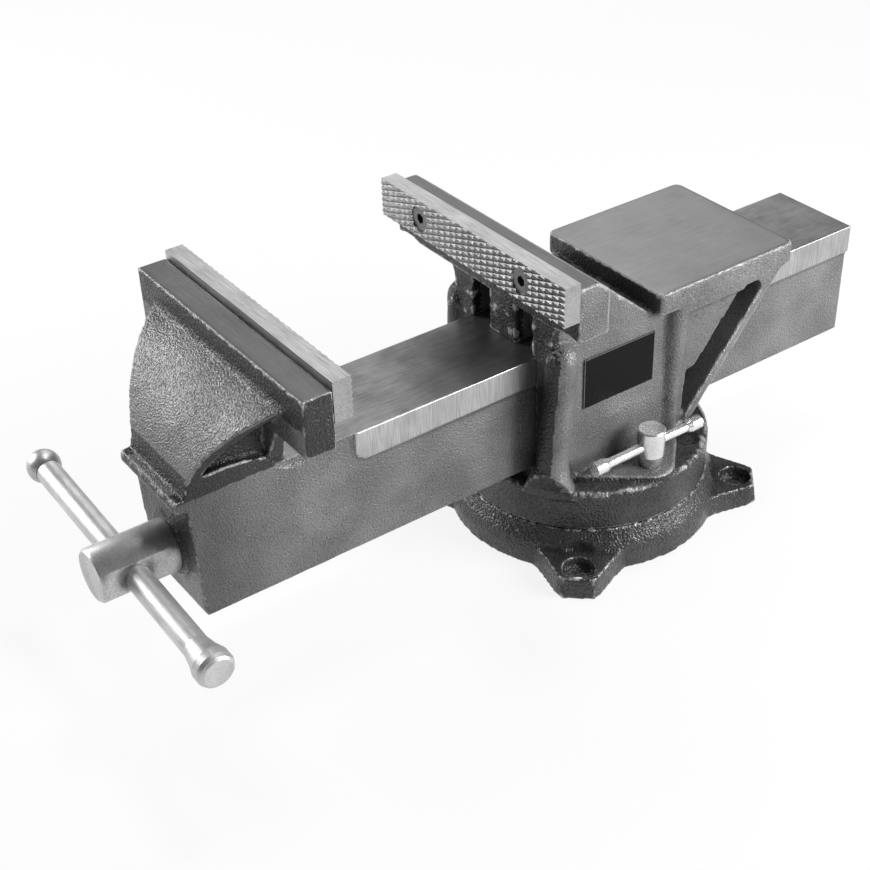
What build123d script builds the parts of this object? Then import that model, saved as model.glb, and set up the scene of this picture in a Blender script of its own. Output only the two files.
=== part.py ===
from build123d import *
import math
import os

# Bench vise on a swivel base, with an anvil. Millimetres, +Z up, origin at the
# centre of the base's underside. The screw runs along Y with its head at -Y, and
# the jaws lie along X.

# ---- jaws --------------------------------------------------------------------
JAW_WIDTH = 150.0
JAW_TOP_Z = 192.5
PLATE_HEIGHT = 21.0
PLATE_THICKNESS = 10.0
PLATE_SCREW_SPACING = 83.0
PLATE_SCREW_SHANK = 8.0
PLATE_SCREW_LENGTH = 20.0
COUNTERSINK_DIAMETER = 14.0
COUNTERSINK_DEPTH = 5.0
SCREW_SUNK = 1.2
SOCKET_RADIUS = 2.9
SOCKET_DEPTH = 3.4
THREAD_SPARE = 2.0
PLATE_STANDS_PROUD = 4.0
HEAD_CASTING_HEIGHT = 30.0
HEAD_EDGE_RADIUS = 1.2
FIXED_FACE_Y = -78.6
REST_OPENING = 116.0

# ---- moving jaw casting --------------------------------------------------------
MOVING_HEAD_DEPTH = 15.8
BEAM_WIDTH = 54.0
BEAM_TOP_Z = 124.0
BEAM_HEIGHT = 68.0
BEAM_WALL = 8.0
BEAM_ROOF = 12.0
BEAM_FRONT_WALL = 17.0
CHANNEL_CORNER = 5.0
THRUST_BOSS_WALL = 3.0
THRUST_BOSS_INSET = 5.0
BEAM_REAR_REACH = 369.2
FRONT_OVERHANG = 53.0
FRONT_RAKE = 3.0
BAND_HEIGHT = 16.3
BAND_PROUD = 1.0
BAND_START = 38.0
BAND_CORNER = 8.0
BEAD_HEIGHT = 6.5
BEAD_PROUD = 6.0
BEAD_ROOT = 4.0
BEAD_DROP = 1.0
BEAD_ROUNDING = 2.3
CHEEK_BAND = 7.0
CHEEK_BULGE = 8.6
CHEEK_ROOT = (2.8, 6.1)
CHEEK_WALL = 8.5
CHEEK_INSET = 9.0
CHEEK_FLARE = 5.0
CHEEK_WAIST_HEIGHT = 9.0
CHEEK_WEB_INSET = 4.0
SHOULDER_HEIGHT = 11.0
SHOULDER_DROP = 4.5
SHOULDER_BOW = 1.9
HEAD_REAR_WALL = 8.0
SIDE_SCALLOP_RADIUS = 18.0
SIDE_SCALLOP_DEPTH = 1.8
SIDE_SCALLOP_BEHIND_SEAT = 7.0
SIDE_SCALLOP_RISE = 13.5

# ---- screw, nut and handle -----------------------------------------------------
SCREW_AXIS_Z = 84.2
SCREW_DIAMETER = 22.0
SCREW_HEAD_DIAMETER = 27.5
SCREW_HEAD_LENGTH = 40.0
SCREW_REACH = 305.0
SCREW_CHAMFER = 1.2
HANDLE_MOUTH_DEPTH = 2.6
HANDLE_MOUTH_FLARE = 2.0
HANDLE_FROM_FRONT = 17.5
HANDLE_DIAMETER = 13.0
HANDLE_LENGTH = 179.0
HANDLE_OFFSET = -1.0
HANDLE_TILT = -3.0
HANDLE_END_DIAMETER = 19.0
HANDLE_BALL_DIAMETER = 17.6
NUT_LENGTH = 44.0
NUT_WALL = 6.0
NUT_FLANGE_HEIGHT = 10.0
NUT_FLANGE_REACH = 8.0
NUT_BOLT_DIAMETER = 12.0
SPRING_WIRE = 3.0
SPRING_LENGTH = 22.0
SPRING_TURNS = 2
WASHER_THICKNESS = 2.5
SPLIT_PIN_DIAMETER = 3.2
SPLIT_PIN_EYE_RADIUS = 2.6

# ---- fixed jaw body ------------------------------------------------------------
BODY_WIDTH = 80.0
BODY_FRONT_Y = -57.0
BODY_REAR_Y = 37.0
FIXED_HEAD_DEPTH = 18.6
FLAT_TOP_DEPTH = 11.7
PILLAR_RADIUS = 8.5
PILLAR_OUTSET = 1.8
PILLAR_SETBACK = 5.8
PILLAR_TOP_Z = 128.0
PILLAR_FOOT_INWARD = 3.4
PILLAR_FOOT_FORWARD = 5.3
PILLAR_FOOT_SPREAD = 12.0
POCKET_WIDTH = 14.0
POCKET_DEPTH = 11.0
CENTRE_RIB = 22.0
ANVIL_WIDTH = 93.0
ANVIL_LENGTH = 97.2
ANVIL_THICKNESS = 13.0
ANVIL_TOP_Z = 144.4
ANVIL_FRONT_Y = 10.2
RIB_FRONT_Y = 22.0
RIB_WIDTH = 13.0
WEB_RECESS = 2.4
BRACE_THICKNESS = 6.2
BRACE_ANGLE = 54.1
BRACE_SLOT = 16.5
LABEL_LENGTH = 48.0
LABEL_HEIGHT = 30.0
LABEL_THICKNESS = 0.9

# ---- swivel and base -----------------------------------------------------------
TURNTABLE_RADIUS = 70.0
TURNTABLE_THICKNESS = 23.4
BASE_HEIGHT = 23.6
SEAT_GAP = 0.2
FLANGE_RADIUS = 76.2
LUG_COUNT = 4
LUG_TURN = 4.2
LUG_CIRCLE = 175.0
LUG_REACH = 99.5
LUG_END_HALF = 9.0
LUG_SHOULDER_HALF = 12.2
LUG_ROOT_HALF = 20.0
LUG_FLARE = 9.0
LUG_DRAFT = 8.0
LUG_THICKNESS = 12.0
LUG_HOLE = 11.0
LUG_COUNTERBORE = 17.0
LUG_COUNTERBORE_DEPTH = 5.5
LUG_SPOT_FACE = 30.0
PIVOT_DIAMETER = 26.0
PIVOT_BOLT_DIAMETER = 10.0
LOCK_RADIUS = 56.0
LOCK_BOLT_DIAMETER = 10.0
LOCK_HEAD_DIAMETER = 15.2
LOCK_HEAD_LENGTH = 22.5
LOCK_PAD_HEIGHT = 2.5
RIM_POCKET_RADIUS = 7.0
RIM_POCKET_DEPTH = 1.5
LOCK_BAR_DIAMETER = 5.5
LOCK_BAR_LENGTH = 71.0
LOCK_BAR_OFFSET = -2.5
LOCK_BAR_DROP = 10.0
CLAMP_NUT_LENGTH = 26.0
CLAMP_FOOT_HALF = 10.5

# ---- clearances ----------------------------------------------------------------
SLIDE_GAP = 0.3
THRUST_GAP = 0.1
RUNNING_FIT = 0.05
HANDLE_FIT = 0.08
SEAT_FIT = 0.02
SCREW_HOLE_GAP = 0.2

# ---- worked out ----------------------------------------------------------------
HALF_JAW = JAW_WIDTH / 2
PLATE_BOTTOM_Z = JAW_TOP_Z - PLATE_HEIGHT
HEAD_TOP_Z = JAW_TOP_Z - PLATE_STANDS_PROUD
HEAD_BOTTOM_Z = HEAD_TOP_Z - HEAD_CASTING_HEIGHT
SCREW_ROW_Z = (JAW_TOP_Z + PLATE_BOTTOM_Z) / 2
FIXED_SEAT_Y = FIXED_FACE_Y + PLATE_THICKNESS
MOVING_FACE_Y = FIXED_FACE_Y - REST_OPENING
MOVING_SEAT_Y = MOVING_FACE_Y - PLATE_THICKNESS
MOVING_HEAD_Y = MOVING_SEAT_Y - MOVING_HEAD_DEPTH
BEAM_HALF = BEAM_WIDTH / 2
BEAM_BOTTOM_Z = BEAM_TOP_Z - BEAM_HEIGHT
BEAM_FRONT_Y = MOVING_SEAT_Y - FRONT_OVERHANG
BEAM_REAR_Y = MOVING_FACE_Y + BEAM_REAR_REACH
BAND_HALF = BEAM_HALF + BAND_PROUD
CHANNEL_HALF = BEAM_HALF - BEAM_WALL
CHANNEL_TOP_Z = BEAM_TOP_Z - BEAM_ROOF
CHANNEL_FRONT_Y = BEAM_FRONT_Y + BEAM_FRONT_WALL
SCREW_RADIUS = SCREW_DIAMETER / 2
SCREW_HEAD_BACK_Y = BEAM_FRONT_Y
SCREW_FRONT_Y = SCREW_HEAD_BACK_Y - SCREW_HEAD_LENGTH
HANDLE_Y = SCREW_FRONT_Y + HANDLE_FROM_FRONT
BODY_HALF = BODY_WIDTH / 2
TUNNEL_HALF = BAND_HALF + SLIDE_GAP
TUNNEL_FLOOR_Z = BEAM_BOTTOM_Z - SLIDE_GAP
TUNNEL_TOP_Z = BEAM_TOP_Z + SLIDE_GAP
TURNTABLE_BOTTOM_Z = BASE_HEIGHT + SEAT_GAP
TURNTABLE_TOP_Z = TURNTABLE_BOTTOM_Z + TURNTABLE_THICKNESS
ANVIL_BOTTOM_Z = ANVIL_TOP_Z - ANVIL_THICKNESS
ANVIL_REAR_Y = ANVIL_FRONT_Y + ANVIL_LENGTH
ANVIL_HALF = ANVIL_WIDTH / 2
PAD_TOP_Z = TURNTABLE_TOP_Z + LOCK_PAD_HEIGHT
LOCK_HEAD_TOP_Z = PAD_TOP_Z + LOCK_HEAD_LENGTH
LOCK_BAR_Z = LOCK_HEAD_TOP_Z - LOCK_BAR_DROP
NUT_CENTRE_Y = -PIVOT_DIAMETER / 2 - 13.0

MIN3 = (Align.MIN, Align.MIN, Align.MIN)
UPRIGHT = (Align.CENTER, Align.CENTER, Align.MIN)


def block(low, high):
    """Box between two corners."""
    size = [b - a for a, b in zip(low, high)]
    return Pos(*low) * Box(*size, align=MIN3)


def rod(start, end, radius):
    """Round bar between two points."""
    along = Vector(*end) - Vector(*start)
    return Plane(origin=start, z_dir=along) * Cylinder(radius, along.length, align=UPRIGHT)


def taper(start, end, start_radius, end_radius):
    """Cone between two points."""
    along = Vector(*end) - Vector(*start)
    return Plane(origin=start, z_dir=along) * Cone(start_radius, end_radius, along.length, align=UPRIGHT)


def side_prism(outline, half_width):
    """Extrudes an outline drawn in (y, z) to both sides of the middle plane."""
    return extrude(Plane.YZ * outline, amount=half_width, both=True)


def front_prism(outline, front_y, rear_y):
    """Extrudes an outline drawn in (x, z) from front to rear."""
    return extrude(Plane.XZ.offset(-rear_y) * outline, amount=rear_y - front_y)


def plan_prism(outline, low_z, high_z):
    """Extrudes an outline drawn in (x, y) upwards."""
    return extrude(Plane.XY.offset(low_z) * outline, amount=high_z - low_z)


def polygon(*points):
    return make_face(Polyline(*points, close=True))


def both_halves(*edges):
    """Closed face from the edges of its right half, which start and end on x = 0."""
    return make_face(list(edges) + [mirror(edge, about=Plane.YZ) for edge in edges])


def mirrored_pair(solid):
    """The solid and its mirror image on the other side of the middle plane."""
    return solid + mirror(solid, about=Plane.YZ)


def revolved(outline):
    """Revolves an outline drawn in (radius, z) about the swivel axis."""
    return revolve(Plane.XZ * outline, Axis.Z)


def ring(inner, outer, low_z, high_z):
    """Square-cut ring about the swivel axis."""
    return revolved(polygon((inner, low_z), (outer, low_z), (outer, high_z), (inner, high_z)))


# ---- moving jaw ----------------------------------------------------------------
def cheek():
    """Convex front of the moving jaw, which narrows from the head to the beam."""
    cheek_top_z = HEAD_TOP_Z - CHEEK_BAND
    cheek_half = HALF_JAW - CHEEK_INSET
    foot, top = Vector(BEAM_FRONT_Y, BEAM_TOP_Z), (MOVING_HEAD_Y, cheek_top_z)
    root = Vector(MOVING_HEAD_Y - CHEEK_ROOT[0], cheek_top_z - CHEEK_ROOT[1])
    outward = (root - foot).rotate(Axis.Z, 90).normalized()
    middle = (foot + root) * 0.5
    front = ThreePointArc(foot, middle + outward * CHEEK_BULGE, root)
    profile = make_face([
        front,
        TangentArc(root, top, tangent=front % 1),
        Polyline(top, (MOVING_SEAT_Y, cheek_top_z), (MOVING_SEAT_Y, BEAM_BOTTOM_Z)),
        Polyline((MOVING_SEAT_Y, BEAM_BOTTOM_Z), (BEAM_FRONT_Y + FRONT_RAKE, BEAM_BOTTOM_Z), foot),
    ])
    waist = (BEAM_HALF, BEAM_TOP_Z + CHEEK_WAIST_HEIGHT)
    flare = ((BEAM_HALF + cheek_half) / 2 - CHEEK_FLARE, (waist[1] + cheek_top_z) / 2)
    outline = both_halves(
        Polyline((0, BEAM_BOTTOM_Z), (BEAM_HALF, BEAM_BOTTOM_Z), waist),
        ThreePointArc(waist, flare, (cheek_half, cheek_top_z)),
        Line((cheek_half, cheek_top_z), (0, cheek_top_z)),
    )
    solid = side_prism(profile, HALF_JAW) & front_prism(outline, BEAM_FRONT_Y - 1, MOVING_SEAT_Y + 1)
    inner_middle = middle + outward * (CHEEK_BULGE - CHEEK_WALL)
    return solid - mirrored_pair(cheek_pocket(inner_middle, root.Y - CHEEK_WALL))


def cheek_pocket(inner_middle, top_z):
    """Hollow behind the right side of the cheek, from its web out past its edge."""
    shoulder_z = BEAM_TOP_Z + SHOULDER_HEIGHT
    web = BEAM_HALF - CHEEK_WEB_INSET
    rear_y = MOVING_SEAT_Y - HEAD_REAR_WALL
    low = (BEAM_FRONT_Y + CHEEK_WALL, shoulder_z)
    high = (MOVING_HEAD_Y, top_z)
    rear = (rear_y, shoulder_z - SHOULDER_DROP)
    crown = ((rear_y + low[0]) / 2, (rear[1] + shoulder_z) / 2 + SHOULDER_BOW)
    outline = make_face([
        ThreePointArc(low, inner_middle, high),
        Polyline(high, (MOVING_HEAD_Y, HEAD_BOTTOM_Z), (rear_y, HEAD_BOTTOM_Z), rear),
        ThreePointArc(rear, crown, low),
    ])
    reach = HALF_JAW - web
    return Pos(web + reach / 2, 0, 0) * side_prism(outline, reach / 2)


def front_bead():
    """Raised bar across the front where the cheek meets the beam."""
    middle_z = BEAM_TOP_Z - BEAD_DROP
    bead = block(
        (-BEAM_HALF, BEAM_FRONT_Y - BEAD_PROUD, middle_z - BEAD_HEIGHT / 2),
        (BEAM_HALF, BEAM_FRONT_Y + BEAD_ROOT, middle_z + BEAD_HEIGHT / 2),
    )
    return fillet(bead.edges().filter_by(Axis.X).group_by(Axis.Y)[0], BEAD_ROUNDING)


def side_scallop():
    """Shallow round recess in the beam's right flank, below the end of the head."""
    y, z = MOVING_SEAT_Y + SIDE_SCALLOP_BEHIND_SEAT, BEAM_TOP_Z + SIDE_SCALLOP_RISE
    low_x, high_x = BEAM_HALF - SIDE_SCALLOP_DEPTH, BAND_HALF + 1
    room = block((low_x, y - SIDE_SCALLOP_RADIUS, BEAM_BOTTOM_Z),
                 (high_x, y + SIDE_SCALLOP_RADIUS, BEAM_TOP_Z + 5))
    return rod((low_x, y, z), (high_x, y, z), SIDE_SCALLOP_RADIUS) & room


def jaw_screw_holes(seat_y, into):
    """Threaded holes for the plate screws; into is +1 or -1 along Y."""
    depth = PLATE_SCREW_LENGTH - PLATE_THICKNESS + THREAD_SPARE
    holes = [
        rod((x, seat_y - into, SCREW_ROW_Z), (x, seat_y + into * depth, SCREW_ROW_Z),
            PLATE_SCREW_SHANK / 2 + SEAT_FIT)
        for x in (-PLATE_SCREW_SPACING / 2, PLATE_SCREW_SPACING / 2)
    ]
    return holes[0] + holes[1]


def moving_jaw_slide():
    head = block((-HALF_JAW, MOVING_HEAD_Y, HEAD_BOTTOM_Z), (HALF_JAW, MOVING_SEAT_Y, HEAD_TOP_Z))
    head = fillet(head.edges().filter_by(Axis.X), HEAD_EDGE_RADIUS)
    beam = side_prism(polygon(
        (BEAM_FRONT_Y + FRONT_RAKE, BEAM_BOTTOM_Z), (BEAM_FRONT_Y, BEAM_TOP_Z),
        (BEAM_REAR_Y, BEAM_TOP_Z), (BEAM_REAR_Y, BEAM_BOTTOM_Z)), BEAM_HALF)
    band = block(
        (-BAND_HALF, MOVING_SEAT_Y + BAND_START, BEAM_TOP_Z - BAND_HEIGHT),
        (BAND_HALF, BEAM_REAR_Y + BAND_PROUD, BEAM_TOP_Z),
    )
    low_front = band.edges().filter_by(Axis.X).group_by(Axis.Y)[0].sort_by(Axis.Z)[0]
    band = fillet(low_front, BAND_CORNER)
    channel = block(
        (-CHANNEL_HALF, CHANNEL_FRONT_Y, BEAM_BOTTOM_Z - 1),
        (CHANNEL_HALF, BEAM_REAR_Y + BAND_PROUD + 1, CHANNEL_TOP_Z),
    )
    channel = fillet(channel.edges().filter_by(Axis.Y).group_by(Axis.Z)[-1], CHANNEL_CORNER)
    bore = rod((0, BEAM_FRONT_Y - 5, SCREW_AXIS_Z), (0, CHANNEL_FRONT_Y + 1, SCREW_AXIS_Z),
               SCREW_RADIUS + RUNNING_FIT)
    thrust_boss = rod((0, SCREW_HEAD_BACK_Y + THRUST_GAP, SCREW_AXIS_Z),
                      (0, CHANNEL_FRONT_Y - THRUST_BOSS_INSET, SCREW_AXIS_Z),
                      SCREW_HEAD_DIAMETER / 2 + THRUST_BOSS_WALL)
    casting = head + cheek() + beam + band + front_bead() + thrust_boss - channel - bore
    casting -= mirrored_pair(side_scallop())
    return casting - jaw_screw_holes(MOVING_SEAT_Y, -1)


# ---- jaw plates ----------------------------------------------------------------
def jaw_plate(face_y, into):
    """Hardened plate whose gripping face lies at face_y; into points to its seat."""
    seat_y = face_y + into * PLATE_THICKNESS
    plate = block(
        (-HALF_JAW, min(face_y, seat_y), PLATE_BOTTOM_Z),
        (HALF_JAW, max(face_y, seat_y), JAW_TOP_Z),
    )
    hole_radius = PLATE_SCREW_SHANK / 2 + SCREW_HOLE_GAP
    for x in (-PLATE_SCREW_SPACING / 2, PLATE_SCREW_SPACING / 2):
        plate -= taper((x, face_y, SCREW_ROW_Z), (x, face_y + into * COUNTERSINK_DEPTH, SCREW_ROW_Z),
                       COUNTERSINK_DIAMETER / 2, hole_radius)
        plate -= rod((x, face_y, SCREW_ROW_Z), (x, seat_y + into, SCREW_ROW_Z), hole_radius)
    return plate


def plate_screws(face_y, into):
    """Two countersunk socket screws, their heads just under the gripping face."""
    seat_radius = COUNTERSINK_DIAMETER / 2
    hole_radius = PLATE_SCREW_SHANK / 2 + SCREW_HOLE_GAP
    head_radius = seat_radius - SCREW_SUNK / COUNTERSINK_DEPTH * (seat_radius - hole_radius) - SEAT_FIT
    screws = []
    for x in (-PLATE_SCREW_SPACING / 2, PLATE_SCREW_SPACING / 2):
        at = lambda depth: (x, face_y + into * depth, SCREW_ROW_Z)
        screw = taper(at(SCREW_SUNK), at(COUNTERSINK_DEPTH), head_radius, PLATE_SCREW_SHANK / 2)
        screw += rod(at(SCREW_SUNK), at(PLATE_SCREW_LENGTH), PLATE_SCREW_SHANK / 2)
        mouth = Plane(origin=at(SCREW_SUNK), z_dir=(0, into, 0))
        screws.append(screw - extrude(mouth * RegularPolygon(SOCKET_RADIUS, 6), amount=SOCKET_DEPTH))
    return screws


# ---- screw and handle ----------------------------------------------------------
def handle_direction():
    tilt = math.radians(HANDLE_TILT)
    return Vector(math.cos(tilt), 0, math.sin(tilt))


def on_handle(distance):
    """Point on the handle's axis, measured from the screw's axis."""
    return Vector(0, HANDLE_Y, SCREW_AXIS_Z) + handle_direction() * distance


def lead_screw():
    axis = lambda y: (0, y, SCREW_AXIS_Z)
    head = rod(axis(SCREW_FRONT_Y), axis(SCREW_HEAD_BACK_Y), SCREW_HEAD_DIAMETER / 2)
    head = chamfer(head.edges().group_by(Axis.Y)[0], SCREW_CHAMFER)
    shank_end = SCREW_HEAD_BACK_Y + SCREW_REACH
    shank = rod(axis(SCREW_HEAD_BACK_Y - 1), axis(shank_end), SCREW_RADIUS)
    shank = chamfer(shank.edges().group_by(Axis.Y)[-1], SCREW_CHAMFER)
    reach = SCREW_HEAD_DIAMETER
    bar_radius = HANDLE_DIAMETER / 2
    screw = head + shank - rod(on_handle(-reach), on_handle(reach), bar_radius + HANDLE_FIT)
    for end in (-1, 1):
        rim = end * (SCREW_HEAD_DIAMETER / 2 - HANDLE_MOUTH_DEPTH)
        screw -= taper(on_handle(rim), on_handle(rim + end * 2 * HANDLE_MOUTH_FLARE),
                       bar_radius, bar_radius + HANDLE_MOUTH_FLARE)
    pin_y = split_pin_y()
    return screw - rod((-reach, pin_y, SCREW_AXIS_Z), (reach, pin_y, SCREW_AXIS_Z),
                       SPLIT_PIN_DIAMETER / 2 + SEAT_FIT)


def handle_bar():
    """Round bar with one forged end, a cone that ends in a rounded knob."""
    near = HANDLE_OFFSET + HANDLE_LENGTH / 2
    far = HANDLE_OFFSET - HANDLE_LENGTH / 2
    radius, end_radius = HANDLE_DIAMETER / 2, HANDLE_END_DIAMETER / 2
    profile = polygon(
        (0, far), (radius, far), (radius, near - 20.0), (radius + 1.3, near - 13.0),
        (end_radius, near - 7.5), (end_radius, near - 3.0), (end_radius - 0.9, near - 1.0),
        (end_radius - 2.3, near), (0, near))
    spun = revolve(profile, Axis.Y)
    return Plane(origin=on_handle(0), x_dir=(0, 1, 0), z_dir=-handle_direction()) * Rot(X=-90) * spun


def handle_ball_end():
    """Ball pressed on the bar's other end, flat on its inner side."""
    far = HANDLE_OFFSET - HANDLE_LENGTH / 2
    radius = HANDLE_BALL_DIAMETER / 2
    ball = Pos(*on_handle(far + 1.0)) * Sphere(radius)
    ball -= rod(on_handle(far), on_handle(far + 30.0), HANDLE_DIAMETER / 2 + SEAT_FIT)
    return ball - rod(on_handle(far + 1.0 + radius * 0.62), on_handle(far + 30.0), radius * 2)


# ---- inside the slide ----------------------------------------------------------
def washer(y, outer_radius):
    ring = rod((0, y, SCREW_AXIS_Z), (0, y + WASHER_THICKNESS, SCREW_AXIS_Z), outer_radius)
    return ring - rod((0, y - 1, SCREW_AXIS_Z), (0, y + WASHER_THICKNESS + 1, SCREW_AXIS_Z),
                      SCREW_RADIUS + RUNNING_FIT)


def spring_start_y():
    return CHANNEL_FRONT_Y + WASHER_THICKNESS


def split_pin_y():
    return spring_start_y() + SPRING_LENGTH + WASHER_THICKNESS + SPLIT_PIN_DIAMETER / 2


def spring_washers():
    outer_radius = CHANNEL_HALF - 2.0
    return [washer(CHANNEL_FRONT_Y, outer_radius), washer(spring_start_y() + SPRING_LENGTH, outer_radius)]


def tangent_arcs(start, start_way, end, end_way):
    """Two circle arcs that join smoothly and leave and arrive in the given directions."""
    chord = end - start
    ways = start_way + end_way
    spread = 2 * (1 - start_way.dot(end_way))
    reach = (math.sqrt(chord.dot(ways) ** 2 + spread * chord.dot(chord)) - chord.dot(ways)) / spread
    first, second = start + start_way * reach, end - end_way * reach
    middle = (first + second) * 0.5
    return [TangentArc(start, middle, tangent=start_way), TangentArc(middle, end, tangent=second - first)]


def thrust_spring():
    """Open coil of square wire round the screw, one unbroken length wound in half turns."""
    coil_radius = SCREW_RADIUS + SPRING_WIRE / 2 + 0.8
    pitch = (SPRING_LENGTH - SPRING_WIRE) / SPRING_TURNS
    start_y = spring_start_y() + SPRING_WIRE / 2
    section = Rectangle(SPRING_WIRE * 0.9, SPRING_WIRE * 0.9)

    def point_and_way(half_turns):
        angle = math.pi * half_turns
        point = Vector(coil_radius * math.cos(angle), start_y + pitch * half_turns / 2,
                       SCREW_AXIS_Z - coil_radius * math.sin(angle))
        way = Vector(-coil_radius * math.sin(angle), pitch / (2 * math.pi),
                     -coil_radius * math.cos(angle))
        return point, way.normalized()

    arcs = []
    for half_turn in range(2 * SPRING_TURNS):
        arcs += tangent_arcs(*point_and_way(half_turn), *point_and_way(half_turn + 1))
    print("least gap between spring turns", round(pitch - SPRING_WIRE, 2), "mm")
    wire = Wire(arcs)
    return sweep(Plane(origin=wire @ 0, x_dir=(1, 0, 0), z_dir=wire % 0) * section, path=wire)


def split_pin():
    """Pin through the screw behind the second washer, with an eye at one end."""
    y, radius = split_pin_y(), SPLIT_PIN_DIAMETER / 2
    eye_x = SCREW_RADIUS + SPLIT_PIN_EYE_RADIUS + 0.3
    pin = rod((-eye_x, y, SCREW_AXIS_Z), (eye_x - 1.2, y, SCREW_AXIS_Z), radius)
    eye = rod((eye_x, y - 1.0, SCREW_AXIS_Z), (eye_x, y + 1.0, SCREW_AXIS_Z), SPLIT_PIN_EYE_RADIUS)
    return pin + eye - rod((eye_x, y - 2.0, SCREW_AXIS_Z), (eye_x, y + 2.0, SCREW_AXIS_Z), 1.0)


def screw_nut():
    """Nut block that stands on the body's floor inside the open channel of the slide."""
    front, rear = NUT_CENTRE_Y - NUT_LENGTH / 2, NUT_CENTRE_Y + NUT_LENGTH / 2
    half = CHANNEL_HALF - 2.0
    foot = block((-half, front, TUNNEL_FLOOR_Z), (half, rear, SCREW_AXIS_Z))
    barrel = rod((0, front, SCREW_AXIS_Z), (0, rear, SCREW_AXIS_Z), SCREW_RADIUS + NUT_WALL)
    flange_z, above_z = TUNNEL_FLOOR_Z + NUT_FLANGE_HEIGHT, SCREW_AXIS_Z + SCREW_DIAMETER
    for cut_front, cut_rear in ((front - 1, front + NUT_FLANGE_REACH), (rear - NUT_FLANGE_REACH, rear + 1)):
        foot -= block((-half - 1, cut_front, flange_z), (half + 1, cut_rear, above_z))
    nut = foot + (barrel & block((-half, front, TUNNEL_FLOOR_Z), (half, rear, above_z)))
    nut -= rod((0, front - 1, SCREW_AXIS_Z), (0, rear + 1, SCREW_AXIS_Z), SCREW_RADIUS + RUNNING_FIT)
    return nut - nut_bolt_hole(NUT_BOLT_DIAMETER / 2 + SEAT_FIT)


def nut_bolt_hole(radius):
    top = SCREW_AXIS_Z - SCREW_RADIUS - 2.0
    return rod((0, NUT_CENTRE_Y, TURNTABLE_BOTTOM_Z), (0, NUT_CENTRE_Y, top), radius)


def nut_bolt_seat_z():
    return TURNTABLE_BOTTOM_Z + 12.0


def nut_bolt():
    """Hex bolt from under the turntable into the nut block."""
    seat = nut_bolt_seat_z() - 2.0
    top = SCREW_AXIS_Z - SCREW_RADIUS - 3.0
    head = extrude(Plane.XY.offset(seat - 7.5) * RegularPolygon(10.4, 6), amount=7.5)
    return Pos(0, NUT_CENTRE_Y, 0) * head + rod(
        (0, NUT_CENTRE_Y, seat - 1), (0, NUT_CENTRE_Y, top), NUT_BOLT_DIAMETER / 2)


def nut_bolt_washer():
    seat = nut_bolt_seat_z()
    ring = rod((0, NUT_CENTRE_Y, seat - 2.0), (0, NUT_CENTRE_Y, seat), NUT_BOLT_DIAMETER / 2 + 5.0)
    return ring - nut_bolt_hole(NUT_BOLT_DIAMETER / 2 + SEAT_FIT)


# ---- fixed jaw body ------------------------------------------------------------
def flared_neck():
    """Upper body: it widens from the side walls to the full jaw width."""
    slope_top = (FIXED_SEAT_Y + FIXED_HEAD_DEPTH, HEAD_TOP_Z - 5.5)
    profile = polygon(
        (BODY_FRONT_Y, TUNNEL_TOP_Z), (BODY_FRONT_Y, HEAD_BOTTOM_Z),
        (FIXED_SEAT_Y, HEAD_BOTTOM_Z), (FIXED_SEAT_Y, HEAD_TOP_Z),
        (FIXED_SEAT_Y + FLAT_TOP_DEPTH, HEAD_TOP_Z), slope_top,
        (ANVIL_FRONT_Y, ANVIL_BOTTOM_Z), (BODY_REAR_Y, ANVIL_BOTTOM_Z), (BODY_REAR_Y, TUNNEL_TOP_Z))
    flare_z = TUNNEL_TOP_Z + 14.0
    outline = both_halves(
        Polyline((0, TUNNEL_TOP_Z), (BODY_HALF, TUNNEL_TOP_Z), (BODY_HALF, flare_z)),
        ThreePointArc((BODY_HALF, flare_z), (BODY_HALF + 8.0, HEAD_BOTTOM_Z - 5.5),
                      (HALF_JAW, HEAD_BOTTOM_Z)),
        Polyline((HALF_JAW, HEAD_BOTTOM_Z), (HALF_JAW, HEAD_TOP_Z), (0, HEAD_TOP_Z)),
    )
    head_back_y = FIXED_SEAT_Y + FIXED_HEAD_DEPTH
    fairing_y = head_back_y + 42.0
    plan = both_halves(
        Polyline((0, FIXED_SEAT_Y), (HALF_JAW, FIXED_SEAT_Y), (HALF_JAW, head_back_y)),
        ThreePointArc((HALF_JAW, head_back_y), (BODY_HALF + 9.0, head_back_y + 13.0),
                      (BODY_HALF, fairing_y)),
        Polyline((BODY_HALF, fairing_y), (BODY_HALF, BODY_REAR_Y), (0, BODY_REAR_Y)),
    )
    neck = side_prism(profile, HALF_JAW)
    neck &= front_prism(outline, FIXED_SEAT_Y, BODY_REAR_Y)
    return neck & plan_prism(plan, TUNNEL_TOP_Z, HEAD_TOP_Z)


def pillar():
    """Leaning corner column at the front, with a domed top and a foot that runs out to the rim."""
    rim = TURNTABLE_RADIUS + 1.0
    top = Vector(BODY_HALF + PILLAR_OUTSET, BODY_FRONT_Y + PILLAR_SETBACK, PILLAR_TOP_Z)
    foot = Vector(top.X - PILLAR_FOOT_INWARD, top.Y - PILLAR_FOOT_FORWARD, TURNTABLE_BOTTOM_Z + 3)
    spread_end = foot + (top - foot) * (TURNTABLE_TOP_Z + 16 - foot.Z) * (1 / (top.Z - foot.Z))
    column = rod(foot, top, PILLAR_RADIUS) + Pos(*top) * Sphere(PILLAR_RADIUS)
    column += taper(foot, spread_end, PILLAR_RADIUS + PILLAR_FOOT_SPREAD, PILLAR_RADIUS)
    limit = revolved(polygon(
        (0, TURNTABLE_BOTTOM_Z), (rim, TURNTABLE_BOTTOM_Z), (rim, TURNTABLE_TOP_Z),
        (rim + 12.0, TURNTABLE_TOP_Z + 30.0), (rim + 12.0, HEAD_TOP_Z), (0, HEAD_TOP_Z)))
    return column & limit


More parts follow.
